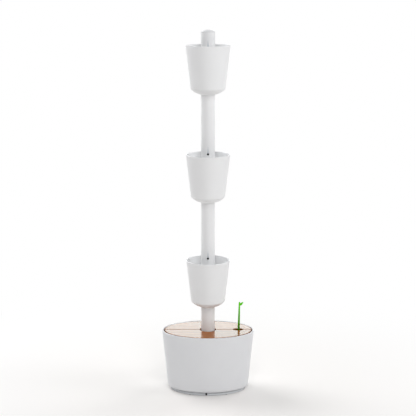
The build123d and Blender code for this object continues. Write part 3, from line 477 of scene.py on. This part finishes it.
def makeLid(name, body, side, node):
    form = lidBoards
    low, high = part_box(node)
    halfWidth = high.x
    halfDepth = max(abs(low.y), abs(high.y))
    bm = bmesh.new()
    rimRight, rimLeft = arcChain(bm, halfWidth, halfDepth, 0, side, form["rimSteps"])
    notchRight, notchLeft = arcChain(bm, form["notch"], form["notch"], 0, side, form["notchSteps"])
    holeRight, holeLeft = arcChain(
        bm, form["holeLong"], form["holeWide"], form["holeX"], side, form["holeSteps"],
    )
    for pair in ((rimRight, holeRight), (holeLeft, notchRight), (notchLeft, rimLeft)):
        bm.edges.new(pair)
    bmesh.ops.translate(bm, vec=(0, 0, low.z), verts=bm.verts)
    bmesh.ops.contextual_create(bm, geom=bm.edges[:])
    lifted = bmesh.ops.extrude_face_region(bm, geom=bm.faces[:])
    top = [item for item in lifted["geom"] if isinstance(item, bmesh.types.BMVert)]
    bmesh.ops.translate(bm, vec=(0, 0, high.z - low.z), verts=top)
    bmesh.ops.recalc_face_normals(bm, faces=bm.faces)
    sharp = [edge for edge in bm.edges if edge.calc_face_angle(0) > radians(form["sharpAngle"])]
    bmesh.ops.bevel(
        bm, geom=sharp, offset=form["softEdge"], offset_type="OFFSET", segments=form["softSteps"], profile=0.5,
        affect="EDGES", material=-1, clamp_overlap=True,
    )
    lid = finishPiece(name, bm, body, "lid_wood", node)
    lid.modifiers.new("evenNormals", "WEIGHTED_NORMAL").keep_sharp = True


makeLid("lidBoardFront", "front_lid", -1, "lid_front")
makeLid("lidBoardRear", "rear_lid", 1, "lid_rear")
print("lid boards done")

# sprout: stem straight up to the lid, then tapered and leaning, with one leaf near its tip
sproutForm = {
    "footRadius": 0.0052, "tipRadius": 0.0033, "lean": 0.003, "bendAt": 0.2675, "sides": 20, "rise": 0.02,
    "edgeStep": 0.001, "tipRound": 0.0022, "tipShoulder": 0.82, "tipEnd": 0.35,
    "leafDrop": 0.017, "leafLength": 0.0238, "leafWidth": 0.0105, "leafThick": 0.0021, "leafTilt": 45.0,
    "leafCells": (12, 4), "rowReach": 0.001, "leafRoot": 0.16, "leafBelly": 0.85,
    "leafArch": 0.0016, "midrib": 0.0006,
}


def growStem(bm, edges, centre, radius, oldCentre, oldRadius):
    grown = bmesh.ops.extrude_edge_only(bm, edges=edges)["geom"]
    verts = [item for item in grown if isinstance(item, bmesh.types.BMVert)]
    bmesh.ops.translate(bm, vec=centre - oldCentre, verts=verts)
    share = radius / oldRadius
    bmesh.ops.scale(bm, vec=(share, share, 1), space=Matrix.Translation(-centre), verts=verts)
    return [item for item in grown if isinstance(item, bmesh.types.BMEdge)]


def makeStem(bm, low, high):
    form = sproutForm
    foot = Vector((low.x + form["footRadius"], 0, low.z))
    standing = Matrix.Translation(foot)
    bmesh.ops.create_circle(bm, segments=form["sides"], radius=form["footRadius"], matrix=standing)
    edges = bm.edges[:]
    bmesh.ops.contextual_create(bm, geom=edges)
    centre, radius = foot, form["footRadius"]
    heights = [low.z + form["edgeStep"], form["bendAt"] - form["edgeStep"]]
    while heights[-1] < high.z - form["tipRound"] - form["rise"]:
        heights.append(heights[-1] + form["rise"])
    heights += [high.z - form["tipRound"], high.z - form["tipEnd"] * form["tipRound"], high.z]
    for height in heights:
        share = max(0, (height - form["bendAt"]) / (high.z - form["bendAt"]))
        nextRadius = form["footRadius"] + (form["tipRadius"] - form["footRadius"]) * share
        nextRadius *= {heights[-1]: form["tipEnd"], heights[-2]: form["tipShoulder"]}.get(height, 1)
        nextCentre = Vector((foot.x + form["lean"] * share, 0, height))
        edges = growStem(bm, edges, nextCentre, nextRadius, centre, radius)
        centre, radius = nextCentre, nextRadius
    bmesh.ops.contextual_create(bm, geom=edges)
    bmesh.ops.recalc_face_normals(bm, faces=bm.faces)
    return foot.x


def makeLeaf(bm, stemX, high):
    form = sproutForm
    cellsAlong, cellsAcross = form["leafCells"]
    root = form["leafRoot"]
    blade = bmesh.new()
    bmesh.ops.create_grid(blade, x_segments=cellsAlong, y_segments=cellsAcross, size=0.5)
    for place in sorted({round(vert.co.x, 4) for vert in blade.verts}):
        column = [vert for vert in blade.verts if abs(vert.co.x - place) < form["rowReach"]]
        along = place + 0.5
        width = root + (1 - root) * sin(pi * along ** form["leafBelly"])
        bmesh.ops.scale(blade, vec=(1, width, 1), verts=column)
        bmesh.ops.translate(blade, vec=(0, 0, form["leafArch"] * sin(pi * along)), verts=column)
    spine = [vert for vert in blade.verts if abs(vert.co.y) < form["rowReach"]]
    bmesh.ops.translate(blade, vec=(0, 0, -form["midrib"]), verts=spine)
    bmesh.ops.translate(blade, vec=(0.5, 0, 0), verts=blade.verts)
    bmesh.ops.scale(blade, vec=(form["leafLength"], form["leafWidth"], 1), verts=blade.verts)
    bmesh.ops.recalc_face_normals(blade, faces=blade.faces)
    bmesh.ops.solidify(blade, geom=blade.faces[:], thickness=form["leafThick"])
    bmesh.ops.translate(blade, vec=(0, 0, form["leafThick"] / 2), verts=blade.verts)
    bmesh.ops.rotate(blade, matrix=Matrix.Rotation(radians(90), 3, "X"), verts=blade.verts)
    bmesh.ops.rotate(blade, matrix=Matrix.Rotation(radians(-form["leafTilt"]), 3, "Y"), verts=blade.verts)
    footX = stemX + form["lean"] * (1 - form["leafDrop"] / (high.z - form["bendAt"]))
    bmesh.ops.translate(blade, vec=(footX, 0, high.z - form["leafDrop"]), verts=blade.verts)
    held = bpy.data.meshes.new("sproutLeaf")
    blade.to_mesh(held)
    blade.free()
    bm.from_mesh(held)
    bpy.data.meshes.remove(held)


def makeSprout():
    low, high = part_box("sprout")
    bm = bmesh.new()
    stemX = makeStem(bm, low, high)
    makeLeaf(bm, stemX, high)
    sprout = finishPiece("sproutStem", bm, "level_indicator", "sprout_green", "sprout")
    softer = sprout.modifiers.new("softer", "SUBSURF")
    softer.levels = softer.render_levels = 1


makeSprout()
print("sprout done")

# camera at the photo's place: 416 px frame, focal length 1200 px
photoView = {"place": (0.0, -5.093, 1.822), "pitch": 11.2, "focal": 1200.0, "frame": 416.0, "sensor": 36.0}
lensData = bpy.data.cameras.new("photoCamera")
lensData.sensor_width = photoView["sensor"]
lensData.lens = photoView["focal"] / photoView["frame"] * photoView["sensor"]
camera = bpy.data.objects.new("photoCamera", lensData)
camera.location = photoView["place"]
camera.rotation_euler = (radians(90 - photoView["pitch"]), 0, 0)
scene.collection.objects.link(camera)
scene.camera = camera


# mask of the rays that see the ground itself: straight, mirrored or through something clear
def seenRays(tree):
    path = put(tree, "LightPath")
    seen = put(tree, "Math", operation="MAXIMUM")
    wire(tree, path, "Is Camera Ray", seen, 0)
    wire(tree, path, "Is Glossy Ray", seen, 1)
    seenAll = put(tree, "Math", operation="MAXIMUM")
    wire(tree, seen, 0, seenAll, 0)
    wire(tree, path, "Is Transmission Ray", seenAll, 1)
    return seenAll


# pale floor that melts into the white ground
floorLook = {
    "radius": 7.0, "sides": 96, "colour": (0.85, 0.828, 0.812), "rough": 0.9, "nearEdge": 0.3, "farEdge": 1.6,
}


def makeFloor():
    bm = bmesh.new()
    bmesh.ops.create_circle(bm, cap_ends=True, segments=floorLook["sides"], radius=floorLook["radius"])
    mesh = bpy.data.meshes.new("studioFloor")
    bm.to_mesh(mesh)
    bm.free()
    floor = bpy.data.objects.new("studioFloor", mesh)
    scene.collection.objects.link(floor)
    material, tree, shader = newMaterial("studioFloor")
    shader.inputs["Base Color"].default_value = (*floorLook["colour"], 1)
    shader.inputs["Roughness"].default_value = floorLook["rough"]
    shader.inputs["Specular IOR Level"].default_value = 0.0
    place = put(tree, "TexCoord")
    reach = put(tree, "VectorMath", operation="LENGTH")
    wire(tree, place, "Object", reach, 0)
    fade = put(
        tree, "MapRange", {"From Min": floorLook["nearEdge"], "From Max": floorLook["farEdge"]},
        interpolation_type="SMOOTHSTEP",
    )
    wire(tree, reach, "Value", fade, "Value")
    seen = seenRays(tree)
    share = put(tree, "Math", operation="MULTIPLY")
    wire(tree, fade, "Result", share, 0)
    wire(tree, seen, 0, share, 1)
    glow = put(tree, "Emission", {"Strength": 1.0})
    both = put(tree, "MixShader")
    wire(tree, share, 0, both, "Fac")
    wire(tree, shader, "BSDF", both, 1)
    wire(tree, glow, "Emission", both, 2)
    wire(tree, both, "Shader", tree.nodes["Material Output"], "Surface")
    mesh.materials.append(material)


makeFloor()

# white ground for the camera, softer sky for the light
skyLook = {"colour": (0.97, 0.985, 1.0), "strength": 0.27}


def makeSky():
    world = bpy.data.worlds.new("studioSky")
    world.use_nodes = True
    scene.world = world
    tree = world.node_tree
    sky = tree.nodes["Background"]
    sky.inputs["Color"].default_value = (*skyLook["colour"], 1)
    sky.inputs["Strength"].default_value = skyLook["strength"]
    white = put(tree, "Background", {"Color": (1, 1, 1, 1), "Strength": 1.0})
    seen = seenRays(tree)
    both = put(tree, "MixShader")
    wire(tree, seen, 0, both, "Fac")
    wire(tree, sky, "Background", both, 1)
    wire(tree, white, "Background", both, 2)
    wire(tree, both, "Shader", tree.nodes["World Output"], "Surface")


makeSky()

# soft lamps: a high and a low one in front, two high behind, one at each side,
# and a panel behind that the varnish mirrors
lamps = {
    "frontHigh": {"place": (0.4, -3.2, 3.4), "aim": (0.0, 0.0, 0.8), "size": (2.4, 2.0), "watts": 72.0},
    "frontLow": {
        "place": (0.3, -2.6, 0.25), "aim": (0.0, 0.0, 0.9), "size": (2.0, 0.5), "watts": 3.5,
        "colour": (1.0, 0.965, 0.92),
    },
    "backLeftHigh": {"place": (-2.2, 1.9, 3.0), "aim": (0.0, 0.0, 0.8), "size": (2.4, 2.0), "watts": 80.0},
    "backRightHigh": {"place": (2.2, 1.9, 3.0), "aim": (0.0, 0.0, 0.8), "size": (2.0, 2.0), "watts": 38.0},
    "sideLeft": {"place": (-3.0, 0.9, 1.8), "aim": (0.0, 0.0, 0.8), "size": (1.2, 1.4), "watts": 14.0},
    "sideRight": {"place": (3.0, -0.6, 1.8), "aim": (0.0, 0.0, 0.8), "size": (1.2, 1.4), "watts": 25.0},
    "backPanel": {
        "place": (0.0, 3.0, 1.2), "aim": (0.0, 0.0, 0.27), "size": (1.0, 0.6), "watts": 12.5,
        "colour": (0.76, 0.95, 0.97),
    },
}
for lampName, setup in lamps.items():
    lampData = bpy.data.lights.new(lampName, "AREA")
    lampData.shape = "RECTANGLE"
    lampData.size, lampData.size_y = setup["size"]
    lampData.energy = setup["watts"]
    lampData.color = setup.get("colour", (1, 1, 1))
    lamp = bpy.data.objects.new(lampName, lampData)
    lamp.location = setup["place"]
    towards = Vector(setup["aim"]) - Vector(setup["place"])
    lamp.rotation_euler = towards.to_track_quat("-Z", "Y").to_euler()
    lamp.visible_camera = False
    scene.collection.objects.link(lamp)

scene.view_settings.view_transform = "Standard"
print("stage and lamps done")
